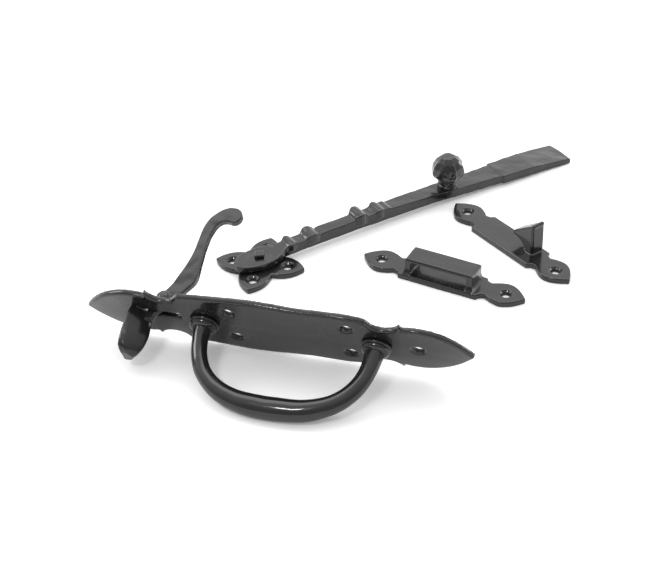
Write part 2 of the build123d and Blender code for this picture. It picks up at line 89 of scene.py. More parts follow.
def add_math(tree: bpy.types.NodeTree, operation: str, first: object, second: object) -> object:
    """Adds a Math node.

    Args:
        tree: Node tree that gets the node.
        operation: Blender's name of the sum.
        first: Socket or number.
        second: Socket or number.

    Returns:
        The node's output socket.
    """
    node = tree.nodes.new("ShaderNodeMath")
    node.operation = operation
    for slot, value in zip(node.inputs, (first, second)):
        if isinstance(value, (int, float)):
            slot.default_value = value
        else:
            tree.links.new(value, slot)
    return node.outputs[0]


def add_noise(tree: bpy.types.NodeTree, place: object, scale: object, detail: float) -> object:
    """Adds a noise texture on the given coordinates.

    Args:
        tree: Node tree that gets the node.
        place: Socket with the coordinates.
        scale: Socket or number for the scale.
        detail: Octaves of finer noise.

    Returns:
        The socket with the noise value, about 0.5 on average.
    """
    node = tree.nodes.new("ShaderNodeTexNoise")
    node.inputs["Detail"].default_value = detail
    tree.links.new(place, node.inputs["Vector"])
    if isinstance(scale, (int, float)):
        node.inputs["Scale"].default_value = scale
    else:
        tree.links.new(scale, node.inputs["Scale"])
    return node.outputs["Fac"]


def coat_texture_group() -> bpy.types.NodeTree:
    """Builds the height of a powder coat: orange peel, sand grain from the mould and a few pits.

    The height is peel times its noise, plus grain times a finer noise, less pits where a cell
    noise comes close to its cell's middle.

    Returns:
        The node group, which puts out one height.
    """
    inputs = {"Peel": 0.5, "Peel Scale": 210.0, "Grain": 0.5, "Grain Scale": 1500.0, "Pits": 0.3}
    tree = new_group("coat_texture", inputs, {"Height": "NodeSocketFloat"})
    given = tree.nodes["in"].outputs
    place = tree.nodes.new("ShaderNodeTexCoord").outputs["Object"]
    peel = add_math(tree, "MULTIPLY", add_noise(tree, place, given["Peel Scale"], 1.0), given["Peel"])
    grain = add_math(tree, "MULTIPLY", add_noise(tree, place, given["Grain Scale"], 3.0), given["Grain"])
    pit_scale, pit_size, patch_scale, patch_level = 330.0, 0.085, 90.0, 0.6
    cells = tree.nodes.new("ShaderNodeTexVoronoi")
    cells.inputs["Scale"].default_value = pit_scale
    tree.links.new(place, cells.inputs["Vector"])
    near = add_math(tree, "LESS_THAN", cells.outputs["Distance"], pit_size)
    rare = add_math(tree, "GREATER_THAN", add_noise(tree, place, patch_scale, 0.0), patch_level)
    pits = add_math(tree, "MULTIPLY", add_math(tree, "MULTIPLY", near, rare), given["Pits"])
    height = add_math(tree, "SUBTRACT", add_math(tree, "ADD", peel, grain), pits)
    tree.links.new(height, tree.nodes["out"].inputs["Height"])
    return tree


def coat_tone_group() -> bpy.types.NodeTree:
    """Builds the slow drift of colour and gloss over a coated casting.

    Tone is a number from 0 to 1 from a wide noise, and gloss is the middle roughness plus the
    spread times how far a second noise lies from its average.

    Returns:
        The node group, which puts out a tone and a roughness.
    """
    inputs = {"Scale": 45.0, "Roughness": 0.3, "Spread": 0.2}
    outputs = {"Tone": "NodeSocketFloat", "Roughness": "NodeSocketFloat"}
    tree = new_group("coat_tone", inputs, outputs)
    given = tree.nodes["in"].outputs
    place = tree.nodes.new("ShaderNodeTexCoord").outputs["Object"]
    wide = add_noise(tree, place, given["Scale"], 2.0)
    fine = add_noise(tree, place, 600.0, 2.0)
    drift = add_math(tree, "SUBTRACT", add_math(tree, "ADD", wide, fine), 1.0)
    rough = add_math(tree, "ADD", given["Roughness"], add_math(tree, "MULTIPLY", drift, given["Spread"]))
    tree.links.new(wide, tree.nodes["out"].inputs["Tone"])
    tree.links.new(rough, tree.nodes["out"].inputs["Roughness"])
    return tree


# Finishes


@dataclass(frozen=True)
class PowderCoat:
    """Satin black powder coat over a casting or forging."""

    name: str
    deep: tuple[float, float, float] = (0.006, 0.0061, 0.0066)
    pale: tuple[float, float, float] = (0.014, 0.0142, 0.0152)
    roughness: float = 0.30
    spread: float = 0.16
    peel: float = 0.5
    grain: float = 0.35
    pits: float = 0.3
    relief: float = 0.00003
    coat: float = 0.6
    coat_roughness: float = 0.06
    bend: float = 1.42

    def material(self) -> bpy.types.Material:
        """Builds the finish's material.

        Returns:
            The material, with its colour, gloss and relief from the shared groups.
        """
        made = bpy.data.materials.get(self.name)
        if made is not None:
            return made
        made = bpy.data.materials.new(self.name)
        made.use_nodes = True
        tree = made.node_tree
        shader = tree.nodes["Principled BSDF"]
        shader.inputs["Coat Weight"].default_value = self.coat
        shader.inputs["Coat Roughness"].default_value = self.coat_roughness
        shader.inputs["IOR"].default_value = self.bend
        tone = tree.nodes.new("ShaderNodeGroup")
        tone.node_tree = bpy.data.node_groups["coat_tone"]
        tone.inputs["Roughness"].default_value = self.roughness
        tone.inputs["Spread"].default_value = self.spread
        mix = tree.nodes.new("ShaderNodeMix")
        mix.data_type = "RGBA"
        mix.inputs["A"].default_value = (*self.deep, 1.0)
        mix.inputs["B"].default_value = (*self.pale, 1.0)
        tree.links.new(tone.outputs["Tone"], mix.inputs["Factor"])
        tree.links.new(mix.outputs["Result"], shader.inputs["Base Color"])
        tree.links.new(tone.outputs["Roughness"], shader.inputs["Roughness"])
        texture = tree.nodes.new("ShaderNodeGroup")
        texture.node_tree = bpy.data.node_groups["coat_texture"]
        texture.inputs["Peel"].default_value = self.peel
        texture.inputs["Grain"].default_value = self.grain
        texture.inputs["Pits"].default_value = self.pits
        bump = tree.nodes.new("ShaderNodeBump")
        bump.inputs["Strength"].default_value = 1.0
        bump.inputs["Distance"].default_value = self.relief
        tree.links.new(texture.outputs["Height"], bump.inputs["Height"])
        tree.links.new(bump.outputs["Normal"], shader.inputs["Normal"])
        return made


PLATE_COAT = PowderCoat("coat_on_plates", roughness=0.24, peel=1.0, grain=0.03)
FORGED_COAT = PowderCoat("coat_on_forged_bow", roughness=0.18, peel=1.2, grain=0.02, pits=0.1)
LEVER_COAT = PowderCoat(
    "coat_on_lever", roughness=0.24, peel=1.0, grain=0.02, coat=0.5, coat_roughness=0.12
)
BAR_COAT = PowderCoat("coat_on_bar", roughness=0.24, peel=1.0, grain=0.06)
KNOB_COAT = PowderCoat("coat_on_knob", roughness=0.16, peel=1.0, grain=0.03, coat=0.7)
SMALL_COAT = PowderCoat("coat_on_small_parts", roughness=0.22, peel=0.6, grain=0.05)


# Surfaces worked out as whole arrays


def ring_faces(rows: int, sides: int) -> list[list[int]]:
    """Faces of a closed shell of rings with a pole vertex at each end.

    Ring i holds the vertices i times sides to i times sides plus sides less 1. The first pole
    comes after all rings and the last pole after it.

    Args:
        rows: Number of rings.
        sides: Vertices in a ring.

    Returns:
        Quads between the rings and triangles at the poles, pointing outwards.
    """
    row, side = np.meshgrid(np.arange(rows - 1), np.arange(sides), indexing="ij")
    after = (side + 1) % sides
    quads = np.stack(
        [row * sides + side, row * sides + after, (row + 1) * sides + after, (row + 1) * sides + side],
        axis=-1,
    ).reshape(-1, 4)
    turn = np.arange(sides)
    beyond = (turn + 1) % sides
    first = np.stack([np.full(sides, rows * sides), beyond, turn], axis=-1)
    base = (rows - 1) * sides
    last = np.stack([np.full(sides, rows * sides + 1), base + turn, base + beyond], axis=-1)
    return quads.tolist() + first.tolist() + last.tolist()


def lathe(profile: np.ndarray, sides: int = 96, corners: int = 0, cut: float = 0.0) -> tuple:
    """Turned or faceted shell about local Z.

    A point is its profile radius times (cos angle, sin angle), at its profile height. With
    corners, the radius is divided by the cosine of the angle from the facet's middle, scaled
    so that the corners lie on the profile, and cut rounds them off towards the circle.

    Args:
        profile: Radius and height of each row, from the lower pole to the upper pole.
        sides: Vertices in a ring.
        corners: Number of flat facets, 0 for a round shell.
        cut: Share of the way from the facets to the circle.

    Returns:
        Points and faces.
    """
    angle = np.arange(sides) * 2 * np.pi / sides
    shape = np.ones(sides)
    if corners:
        step = 2 * np.pi / corners
        offset = np.mod(angle, step) - step / 2
        flat = math.cos(step / 2) / np.cos(offset)
        shape = flat * (1 - cut) + cut
    radius = profile[1:-1, 0][:, None] * shape[None, :]
    height = np.broadcast_to(profile[1:-1, 1][:, None], radius.shape)
    rings = np.stack([radius * np.cos(angle), radius * np.sin(angle), height], axis=-1)
    poles = np.array([[0, 0, profile[0, 1]], [0, 0, profile[-1, 1]]])
    return np.vstack([rings.reshape(-1, 3), poles]), ring_faces(len(radius), sides)


def tube(path: np.ndarray, across: np.ndarray, radii: np.ndarray, sides: int = 64) -> tuple:
    """Round shell carried along a plane path.

    Each ring is the path's point plus its radius times (cos angle times the plane's inward
    direction, plus sin angle times the direction across the plane).

    Args:
        path: Points of the centre line.
        across: Unit vector square to the path's plane.
        radii: Radius at each point.
        sides: Vertices in a ring.

    Returns:
        Points and faces.
    """
    tangent = np.gradient(path, axis=0)
    tangent /= np.linalg.norm(tangent, axis=1)[:, None]
    inward = np.cross(across, tangent)
    angle = np.arange(sides) * 2 * np.pi / sides
    ring = (
        np.cos(angle)[None, :, None] * inward[:, None, :]
        + np.sin(angle)[None, :, None] * across[None, None, :]
    )
    points = path[:, None, :] + radii[:, None, None] * ring
    return np.vstack([points.reshape(-1, 3), path[[0, -1]]]), ring_faces(len(path), sides)


def join_shells(shells: list[tuple]) -> tuple:
    """Puts several shells into one list of points and faces.

    Args:
        shells: Pairs of points and faces.

    Returns:
        Points and faces of all of them.
    """
    points, faces, start = [], [], 0
    for some_points, some_faces in shells:
        points.append(some_points)
        faces += [[index + start for index in face] for face in some_faces]
        start += len(some_points)
    return np.vstack(points), faces


def smooth_profile(
    corners: Sequence[tuple[float, float]], rounding: float, steps: int = 5
) -> np.ndarray:
    """Profile with each inner corner rounded off.

    Near a corner the profile follows the quadratic curve from a point before it, over the
    corner, to a point after it, at the rounding distance or at half the shorter side.

    Args:
        corners: Radius and height of the corners, pole to pole.
        rounding: Distance from a corner at which its curve starts.
        steps: Points on each curve.

    Returns:
        The rounded profile.
    """
    knots = np.array(corners, float)
    before = knots[:-2] - knots[1:-1]
    after = knots[2:] - knots[1:-1]
    lengths = np.stack([np.linalg.norm(before, axis=1), np.linalg.norm(after, axis=1)], axis=1)
    reach = np.minimum(rounding, 0.48 * lengths.min(axis=1))[:, None]
    start = knots[1:-1] + before / lengths[:, :1] * reach
    end = knots[1:-1] + after / lengths[:, 1:] * reach
    share = np.linspace(0, 1, steps)[None, :, None]
    curve = (
        (1 - share) ** 2 * start[:, None, :]
        + 2 * share * (1 - share) * knots[1:-1][:, None, :]
        + share**2 * end[:, None, :]
    )
    return np.vstack([knots[:1], curve.reshape(-1, 2), knots[-1:]])


def flow(stations: tuple[float, ...], values: tuple[float, ...], at: np.ndarray) -> np.ndarray:
    """Smooth curve through values at stations.

    Between two stations it is the cubic that meets both values with the slopes of the
    parabolas through each value and its neighbours.

    Args:
        stations: Rising stations.
        values: Value at each station.
        at: Places where the curve is wanted.

    Returns:
        The curve's value at each place.
    """
    knots, heights = np.array(stations), np.array(values)
    slopes = np.gradient(heights, knots)
    start = np.clip(np.searchsorted(knots, at, side="right") - 1, 0, len(knots) - 2)
    span = knots[start + 1] - knots[start]
    share = (at - knots[start]) / span
    return (
        (1 + 2 * share) * (1 - share) ** 2 * heights[start]
        + share * (1 - share) ** 2 * span * slopes[start]
        + share**2 * (3 - 2 * share) * heights[start + 1]
        + share**2 * (share - 1) * span * slopes[start + 1]
    )


@dataclass(frozen=True)
class Waviness:
    """Slow, uneven waves of a cast or forged surface, from a fixed seed."""

    height: float
    length: float
    seed: int
    waves: int = 28

    def field(self, points: np.ndarray) -> np.ndarray:
        """Height of the waves at each point.

        It is the sum of plane waves in random directions, each the sine of the point times
        its wave vector plus a random phase, with shorter waves lower.

        Args:
            points: Places in metres.

        Returns:
            Heights in metres.
        """
        draw = np.random.default_rng(self.seed)
        direction = draw.normal(size=(self.waves, 3))
        direction /= np.linalg.norm(direction, axis=1)[:, None]
        stretch = draw.uniform(0.45, 1.8, self.waves)
        phase = draw.uniform(0, 2 * np.pi, self.waves)
        vector = direction * (2 * np.pi / (self.length * MM * stretch))[:, None]
        wave = np.sin(points @ vector.T + phase)
        weight = stretch / np.sqrt((stretch**2).sum() / 2)
        return self.height * MM * (wave * weight).sum(axis=1)


def spin(degrees: float) -> np.ndarray:
    """Matrix that turns points, given as rows, about Z.

    Its rows are (cosine, sine, 0), (minus sine, cosine, 0) and (0, 0, 1).
    """
    sine, cosine = math.sin(math.radians(degrees)), math.cos(math.radians(degrees))
    return np.array([[cosine, sine, 0], [-sine, cosine, 0], [0, 0, 1]])


# Pieces and their meshes


def put(name: str, data: bpy.types.ID) -> bpy.types.Object:
    """Links a new object with the given mesh, lamp or camera into the scene."""
    made = bpy.data.objects.new(name, data)
    bpy.context.scene.collection.objects.link(made)
    return made


def read_points(mesh: bpy.types.Mesh) -> np.ndarray:
    """Gives the places of a mesh's vertices, one row each."""
    points = np.empty(len(mesh.vertices) * 3)
    mesh.vertices.foreach_get("co", points)
    return points.reshape(-1, 3)


def write_points(mesh: bpy.types.Mesh, points: np.ndarray) -> None:
    """Moves a mesh's vertices to the given places."""
    mesh.vertices.foreach_set("co", points.ravel())
    mesh.update()


def make_piece(
    name: str, points: np.ndarray, faces: list, body: Body, finish: PowderCoat
) -> bpy.types.Object:
    """Puts a surface into the scene as a piece that rides on a body.

    Args:
        name: Name of the piece.
        points: Points in metres in the row frame.
        faces: Vertex numbers of each face.
        body: Body that it rides on.
        finish: Its finish.

    Returns:
        The new object, at the origin.
    """
    mesh = bpy.data.meshes.new(name)
    mesh.from_pydata(points.tolist(), [], faces)
    mesh.polygons.foreach_set("use_smooth", np.ones(len(mesh.polygons), bool))
    mesh.update()
    return dress(put(name, mesh), body, finish)


def dress(piece: bpy.types.Object, body: Body, finish: PowderCoat) -> bpy.types.Object:
    """Gives a piece its finish and its body.

    Args:
        piece: The piece.
        body: Body that it rides on.
        finish: Its finish.

    Returns:
        The same piece.
    """
    piece.data.materials.clear()
    piece.data.materials.append(finish.material())
    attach(piece, body.value)
    log.info("%s: %d faces, rides on %s", piece.name, len(piece.data.polygons), body.value)
    return piece


def wave_skin(mesh: bpy.types.Mesh, waviness: Waviness) -> None:
    """Moves each vertex along its normal by the height of the waves there.

    Args:
        mesh: Mesh that is changed.
        waviness: The waves.
    """
    points = read_points(mesh)
    normals = np.empty(points.size)
    mesh.vertex_normals.foreach_get("vector", normals)
    points += normals.reshape(-1, 3) * waviness.field(points)[:, None]
    write_points(mesh, points)


@dataclass
class CastSkin:
    """A casting's surface with softened arrises and slow waves, in place of its CAD node."""

    node: str
    body: Body
    finish: PowderCoat
    waviness: Waviness
    voxel: float = 0.42
    passes: int = 3

    def build(self) -> bpy.types.Object:
        """Builds the casting from a merged copy of its node.

        Returns:
            The piece.
        """
        piece = self.even_copy()
        self.soften(piece.data)
        wave_skin(piece.data, self.waviness)
        dress(piece, self.body, self.finish)
        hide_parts(self.node)
        return piece

    def even_copy(self) -> bpy.types.Object:
        """Copies the node, merges its loose triangles and gives it an even mesh."""
        name = self.node + "_casting"
        shell = bmesh.new()
        shell.from_mesh(frame["nodes"][self.node].data)
        bmesh.ops.remove_doubles(shell, verts=shell.verts, dist=SAME_PLACE)
        self.reshape(shell)
        merged = bpy.data.meshes.new(name + "_merged")
        shell.to_mesh(merged)
        shell.free()
        source = put(name + "_source", merged)
        even = source.modifiers.new("even", "REMESH")
        even.mode = "VOXEL"
        even.voxel_size = self.voxel * MM
        even.use_smooth_shade = True
        graph = bpy.context.evaluated_depsgraph_get()
        mesh = bpy.data.meshes.new_from_object(source.evaluated_get(graph))
        mesh.name = name
        bpy.data.objects.remove(source)
        bpy.data.meshes.remove(merged)
        return put(name, mesh)

    def reshape(self, shell: bmesh.types.BMesh) -> None:
        """Leaves the merged copy as it is: a casting with finer forms puts them on here."""

    def soften(self, mesh: bpy.types.Mesh) -> None:
        """Rounds arrises by moving each vertex half way to the mean of its neighbours.

        Args:
            mesh: Mesh that is changed.
        """
        points = read_points(mesh)
        count = len(points)
        edges = np.empty(len(mesh.edges) * 2, np.int64)
        mesh.edges.foreach_get("vertices", edges)
        edges = edges.reshape(-1, 2)
        ends = np.concatenate([edges[:, 0], edges[:, 1]])
        others = np.concatenate([edges[:, 1], edges[:, 0]])
        near = np.maximum(np.bincount(ends, minlength=count), 1)
        for _ in range(self.passes):
            mean = np.stack(
                [np.bincount(ends, points[others, axis], count) / near for axis in range(3)], axis=1
            )
            points = 0.5 * (points + mean)
        write_points(mesh, points)


# Places that follow from the record


def named(items: list[dict], name: str) -> dict:
    """Gives the record's entry with that name."""
    return next(item for item in items if item["name"] == name)


@dataclass
class HandleFrame:
    """Directions of the leaning handle: along its plate, up the plate and out of its front."""

    plate_thick: float = 3.14
    along: np.ndarray = field(init=False)
    upward: np.ndarray = field(init=False)
    front: np.ndarray = field(init=False)
    origin: np.ndarray = field(init=False)

    def __post_init__(self) -> None:
        """Takes the directions from the lever's hinge and the leaf screws in the record."""
        hinge = named(frame["joints"], "lever_hinge")
        screws = named(frame["record"]["mounts"], "handle_leaf_screws")
        self.upward = np.array(hinge["axis"], float)
        self.front = np.array(screws["axis"], float)
        self.along = np.cross(self.upward, self.front)
        self.origin = np.array(screws["pos_m"], float) + self.front * self.plate_thick * MM

    def place(self, points: np.ndarray) -> np.ndarray:
        """Turns handle millimetres into metres in the row frame.

        Args:
            points: Places along, up and out of the plate.

        Returns:
            The same places in the row frame.
        """
        return self.origin + MM * (points @ np.stack([self.along, self.upward, self.front]))


@dataclass
class BarFrame:
    """Directions of the latch bar, which lies level on its pivot."""

    turn: float = 31.0
    underside: float = 4.2

    def place(self, points: np.ndarray) -> np.ndarray:
        """Turns bar millimetres into metres in the row frame.

        Args:
            points: Places along the bar, across it and above its underside.

        Returns:
            The same places in the row frame.
        """
        pivot = np.array(named(frame["joints"], "bar_hinge")["pos_m"], float)
        raised = points + np.array([0, 0, self.underside])
        return pivot + MM * (raised @ spin(self.turn))


# Sub-assemblies


@dataclass
class PullHandle:
    """Forged bow with a ringed foot at each end, riveted through the plate."""

    place: HandleFrame
    centre: float = 8.0
    half_span: float = 46.0
    reach: float = 42.8
    fullness: float = 2.53
    middle_radius: float = 6.1
    first_leg_radius: float = 4.5
    second_leg_radius: float = 4.1
    foot_radius: float = 8.1
    foot_flare: float = 1.0
    flare_length: float = 9.0
    tenon_radius: float = 4.0
    clench_radius: float = 6.0
    clench_height: float = 1.5
    foot_rows: tuple[tuple[float, float], ...] = (
        (-0.1, 0.05),
        (0.0, 1.7),
        (-0.9, 2.1),
        (-0.4, 2.6),
        (-0.8, 3.9),
        (-1.9, 4.7),
    )
    foot_top: float = 5.0

    def build(self) -> bpy.types.Object:
        """Builds the bow and its feet as one piece.

        Returns:
            The piece that stands for the pull handle.
        """
        shells = [self.bow()]
        foot = self.foot()
        for side in (-1, 1):
            shells.append((foot[0] + [self.centre + side * self.half_span, 0, 0], foot[1]))
        points, faces = join_shells(shells)
        piece = make_piece("forged_bow", self.place.place(points), faces, Body.FIXED, FORGED_COAT)
        wave_skin(piece.data, Waviness(height=0.05, length=11.0, seed=4))
        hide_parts("pull_handle")
        return piece

    def bow(self) -> tuple:
        """Tube on a full, squared curve that is thickest at its middle.

        The centre line is the half span times the cosine and the reach times the sine, each
        raised to 2 over the fullness. The radius goes from one leg's to the other's, and
        swells to the middle's with the fourth power of the sine. Near each foot it flares, by
        the flare times a bell curve of the distance to the foot.

        Returns:
            Points and faces.
        """
        share = np.linspace(0, 1, 181)
        angle = np.pi * share
        power = 2 / self.fullness
        along = np.sign(np.cos(angle)) * np.abs(np.cos(angle)) ** power
        out = np.maximum(np.sin(angle), 0) ** power
        path = np.stack([self.centre + self.half_span * along, 0 * share, self.reach * out], axis=1)
        even = np.cumsum(np.r_[0, np.linalg.norm(np.diff(path, axis=0), axis=1)])
        stops = np.linspace(0, even[-1], 161)
        path = np.stack([np.interp(stops, even, path[:, axis]) for axis in range(3)], axis=1)
        run = stops / even[-1]
        leg = self.first_leg_radius * (1 - run) + self.second_leg_radius * run
        radii = leg + (self.middle_radius - leg) * np.sin(np.pi * run) ** 4
        to_foot = np.minimum(stops, even[-1] - stops) / self.flare_length
        radii = radii + self.foot_flare * np.exp(-(to_foot**2))
        return tube(path, np.array([0.0, 1.0, 0.0]), radii)

    def foot(self) -> tuple:
        """Foot turned about the handle's front direction: clench, tenon, flange and ring.

        Returns:
            Points and faces.
        """
        back = -self.place.plate_thick
        clench = [
            (0, back - self.clench_height),
            (self.clench_radius - 1.2, back - self.clench_height),
            (self.clench_radius, back),
            (self.tenon_radius, back),
            (self.tenon_radius, self.foot_rows[0][1]),
        ]
        rings = [(self.foot_radius + step, height) for step, height in self.foot_rows]
        top = [(self.middle_radius - 0.6, self.foot_top), (0, self.foot_top)]
        return lathe(smooth_profile(clench + rings + top, 0.7), 80)


@dataclass
class ThumbLever(CastSkin):
    """Thumb lever: its node's flat tail, with a dished pad that has a squared rim.

    The pad's sizes are given at stations from the plate out to the pad's tip, in handle
    millimetres: half its width, where its rim starts, how thick the rim is, and its back.
    """

    place: HandleFrame = field(default_factory=HandleFrame)
    cut_at: float = 0.36
    on_cut: float = 1e-7
    middle: float = 0.8
    stations: tuple[float, ...] = (0.2, 5.0, 9.0, 12.0, 15.0, 19.0, 22.3, 24.7, 25.8, 26.3)
    half_widths: tuple[float, ...] = (8.4, 9.1, 9.0, 8.9, 8.9, 9.0, 8.6, 7.1, 5.4, 3.8)
    rims: tuple[float, ...] = (-76.4, -77.1, -77.5, -77.6, -77.6, -77.4, -77.1, -76.6, -76.1, -75.6)
    rim_thicks: tuple[float, ...] = (1.0, 1.3, 1.8, 2.4, 2.9, 3.3, 3.6, 3.9, 4.0, 3.8)
    backs: tuple[float, ...] = (-66.0, -65.5, -65.0, -64.8, -64.9, -65.5, -66.7, -68.3, -69.5, -70.3)
    wall: float = 3.6
    dish_end: float = 6.0
    corner: float = 0.6
    crown: float = 0.16
    shallowest: float = 0.2
    web_middle: float = 2.4
    web_half: float = 2.0
    web_start: float = -68.5
    web_ends: tuple[tuple[float, float], ...] = ((-0.2, -63.0), (5.0, -65.3))

    def reshape(self, shell: bmesh.types.BMesh) -> None:
        """Cuts off the node's plain pad and puts the dished pad and its root in its place.

        Args:
            shell: Merged copy of the node, which is changed.
        """
        bmesh.ops.bisect_plane(
            shell,
            geom=shell.verts[:] + shell.edges[:] + shell.faces[:],
            dist=self.on_cut,
            plane_co=self.place.place(np.array([0.0, 0.0, self.cut_at])),
            plane_no=self.place.front,
            clear_outer=True,
        )
        bmesh.ops.holes_fill(shell, edges=[edge for edge in shell.edges if edge.is_boundary])
        points, faces = join_shells([self.pad(), self.root()])
        added = bpy.data.meshes.new("pad_shells")
        added.from_pydata(self.place.place(points).tolist(), [], faces)
        shell.from_mesh(added)
        bpy.data.meshes.remove(added)

    def pad(self) -> tuple:
        """Dished pad on a grid of stations and places round its section.

        Its back falls off to both rims like a hyperbola: by the depth times the root of the
        squared share of the half width plus the squared crown, less the crown, brought to 1
        at the rim. The rim is squared off, and the thumb's side is a parabola that leaves the
        wall's thickness at the middle. Toward the tip the parabola's depth goes to nothing, by
        the root of the share of the dish's end that is left.

        Returns:
            Points and faces.
        """
        out = np.linspace(self.stations[0], self.stations[-1], 64)
        half = flow(self.stations, self.half_widths, out)[:, None]
        rim = flow(self.stations, self.rims, out)[:, None]
        thick = flow(self.stations, self.rim_thicks, out)[:, None]
        back = flow(self.stations, self.backs, out)[:, None]
        share = np.linspace(-1, 1, 41)[None, :]
        side = np.linspace(0, 1, 7)[None, 1:-1]
        inner = np.maximum(half - self.corner, 0.3 * half)
        close = np.sqrt(np.clip((self.stations[-1] - out) / self.dish_end, 0, 1))[:, None]
        depth = np.maximum(back - self.wall - rim, self.shallowest) * close
        fall = (np.hypot(share, self.crown) - self.crown) / (math.hypot(1, self.crown) - self.crown)
        underside = back - (back - rim - thick) * fall
        near_edge = rim + thick + (self.corner - thick) * side
        thumb_side = rim + depth * (1 - share**2)
        far_edge = rim + self.corner + (thick - self.corner) * side
        along = np.concatenate([underside, near_edge, thumb_side, far_edge], axis=1)
        across = np.concatenate([half * share, half + 0 * side, -inner * share, -half + 0 * side], axis=1)
        rings = np.stack([along, across + self.middle, np.broadcast_to(out[:, None], along.shape)], axis=-1)
        poles = rings[[0, -1]].mean(axis=1)
        return np.vstack([rings.reshape(-1, 3), poles]), ring_faces(len(out), along.shape[1])

    def root(self) -> tuple:
        """Wedge that carries the web on from the plate into the back of the pad."""
        low, high = self.web_middle - self.web_half, self.web_middle + self.web_half
        rings = [
            (start, across, out)
            for out, front in self.web_ends
            for start, across in (
                (self.web_start, low),
                (front, low),
                (front, high),
                (self.web_start, high),
            )
        ]
        points = np.array(rings)
        return np.vstack([points, points[:4].mean(axis=0), points[4:].mean(axis=0)]), ring_faces(2, 4)


@dataclass
class HandleUnit:
    """Leaf-ended handle plate with its pull handle, thumb lever and cross pin."""

    place: HandleFrame = field(default_factory=HandleFrame)
    pin_at: float = -60.5
    pin_depth: float = 6.74
    pin_offset: float = 2.4
    pin_radius: float = 1.7
    pin_half: float = 7.2
    head_spread: float = 0.7
    head_height: float = 0.7
    head_dome: float = 0.8
    head_side: float = 0.3

    def build(self) -> None:
        """Builds the four pieces of the handle."""
        slow_waves, short_waves = Waviness(0.035, 16.0, 1), Waviness(0.04, 8.0, 2)
        CastSkin("handle_plate", Body.FIXED, PLATE_COAT, slow_waves, voxel=0.55, passes=2).build()
        PullHandle(self.place).build()
        ThumbLever(
            "thumb_lever", Body.LEVER, LEVER_COAT, short_waves, voxel=0.36, place=self.place
        ).build()
        self.cross_pin()

    def cross_pin(self) -> bpy.types.Object:
        """Pin with a domed head peened over each lug, turned about the lever's hinge line.

        Returns:
            The piece.
        """
        half, head = self.pin_half, self.pin_radius + self.head_spread
        low_end = [
            (0, -half - self.head_height),
            (head - self.head_dome, -half - self.head_height),
            (head, -half - self.head_side),
            (head, -half),
            (self.pin_radius, -half),
        ]
        high_end = [(radius, -height) for radius, height in reversed(low_end)]
        turned, faces = lathe(smooth_profile(low_end + high_end, 0.4), 48)
        points = np.stack(
            [
                self.pin_at + turned[:, 1],
                self.pin_offset + turned[:, 2],
                turned[:, 0] - self.pin_depth,
            ],
            axis=1,
        )
        piece = make_piece("lever_cross_pin", self.place.place(points), faces, Body.FIXED, SMALL_COAT)
        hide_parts("lever_pin")
        return piece


@dataclass
class BarUnit:
    """Latch bar with its knob, on a quatrefoil pivot plate with a square-headed rivet."""

    place: BarFrame = field(default_factory=BarFrame)
    knob_station: float = 134.0
    knob_seat: float = 5.117
    knob_lean: float = -2.5
    knob_turn: float = -8.0
    neck_rows: tuple[tuple[float, float], ...] = (
        (0, -5.0),
        (3.0, -5.0),
        (3.0, 0.0),
        (6.4, 0.0),
        (6.6, 1.9),
        (5.7, 2.5),
        (5.7, 3.0),
        (6.5, 3.6),
        (6.3, 5.2),
        (5.6, 6.1),
        (7.0, 8.5),
        (0, 8.5),
    )
    head_rows: tuple[tuple[float, float], ...] = (
        (0, 8.1),
        (9.3, 8.1),
        (10.6, 10.8),
        (9.7, 15.2),
        (7.3, 18.8),
        (3.8, 21.3),
        (0, 21.3),
    )
    rivet_seat: float = 8.35
    rivet_turn: float = 17.0
    rivet_head_radius: float = 3.8
    rivet_head_height: float = 2.1

    def build(self) -> None:
        """Builds the four pieces of the bar."""
        CastSkin("pivot_plate", Body.FIXED, PLATE_COAT, Waviness(0.03, 12.0, 5), voxel=0.36).build()
        CastSkin("latch_bar", Body.BAR, BAR_COAT, Waviness(0.065, 7.5, 6), voxel=0.40).build()
        self.knob()
        self.rivet()

    def knob(self) -> bpy.types.Object:
        """Ringed neck and a head of eight hammered facets, on a stem through the bar.

        Both are turned about Z by the knob's turn and then leant along the bar.

        Returns:
            The piece.
        """
        neck = lathe(smooth_profile(self.neck_rows, 0.6), 80)
        head = lathe(smooth_profile(self.head_rows, 0.9, 7), 160, corners=8, cut=0.12)
        points, faces = join_shells([neck, head])
        sine, cosine = math.sin(math.radians(self.knob_lean)), math.cos(math.radians(self.knob_lean))
        tilt = np.array([[cosine, 0, -sine], [0, 1, 0], [sine, 0, cosine]])
        seat = np.array([self.knob_station, 0, self.knob_seat])
        points = points @ spin(self.knob_turn) @ tilt + seat
        piece = make_piece("faceted_knob", self.place.place(points), faces, Body.BAR, KNOB_COAT)
        wave_skin(piece.data, Waviness(height=0.09, length=3.6, seed=7))
        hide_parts("latch_knob")
        return piece

    def rivet(self) -> bpy.types.Object:
        """Rivet with a worn square head over the bar's eye.

        Returns:
            The piece.
        """
        seat, radius, height = self.rivet_seat, self.rivet_head_radius, self.rivet_head_height
        shank_rows = [(0, 0), (2.4, 0), (2.4, seat + 0.5), (0, seat + 0.5)]
        head_rows = [
            (0, seat),
            (radius, seat),
            (radius, seat + height - 0.6),
            (radius - 0.7, seat + height),
            (0, seat + height),
        ]
        shank = lathe(smooth_profile(shank_rows, 0.2), 48)
        head = lathe(smooth_profile(head_rows, 0.5), 96, corners=4, cut=0.16)
        points, faces = join_shells([shank, head])
        points = points @ spin(self.rivet_turn) - np.array([0, 0, self.place.underside])
        piece = make_piece("square_rivet", self.place.place(points), faces, Body.FIXED, SMALL_COAT)
        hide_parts("pivot_rivet")
        return piece


